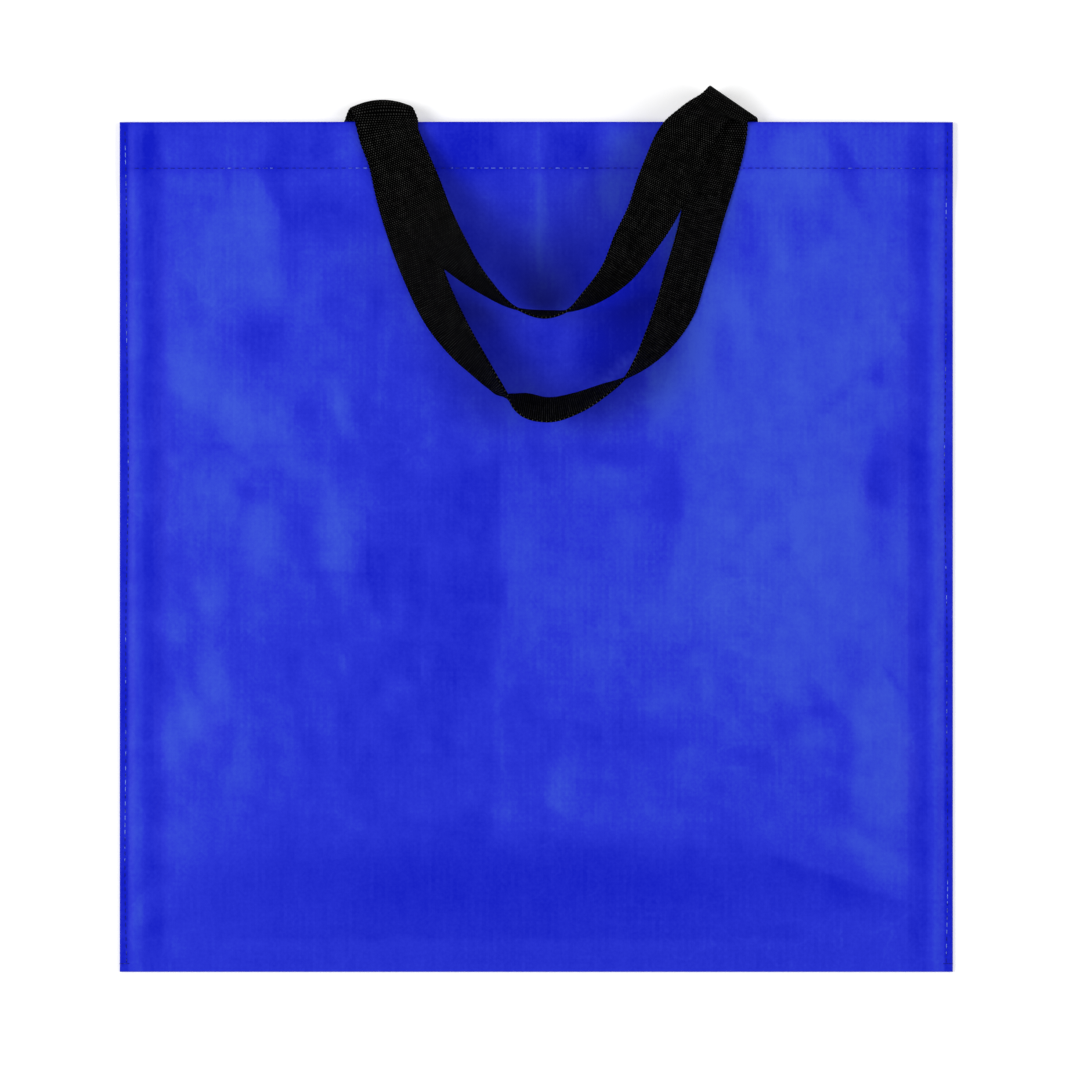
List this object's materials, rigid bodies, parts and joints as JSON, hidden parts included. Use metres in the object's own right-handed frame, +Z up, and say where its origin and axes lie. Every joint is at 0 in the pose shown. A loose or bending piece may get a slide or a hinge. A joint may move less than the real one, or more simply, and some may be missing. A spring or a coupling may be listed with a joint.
{
  "type": "carrier bag",
  "caption": "Large square carrier bag of glossy woven plastic, lying flat, with a turned hem at the mouth and webbing handles folded forward over the front.",
  "frame": {"origin": "on the floor under the middle of the bag's body, on the back panel's outer face", "axes": "+X across the bag to the right as seen from the front, +Y towards the mouth, +Z up out of the front panel"},
  "size_m": [0.45, 0.4786, 0.064],
  "materials": {
    "laminate": "satin",
    "webbing": "matte"
  },
  "bodies": {
    "root": {"bag_body": "laminate", "handle_front": "webbing", "handle_back": "webbing"}
  },
  "joints": []
}
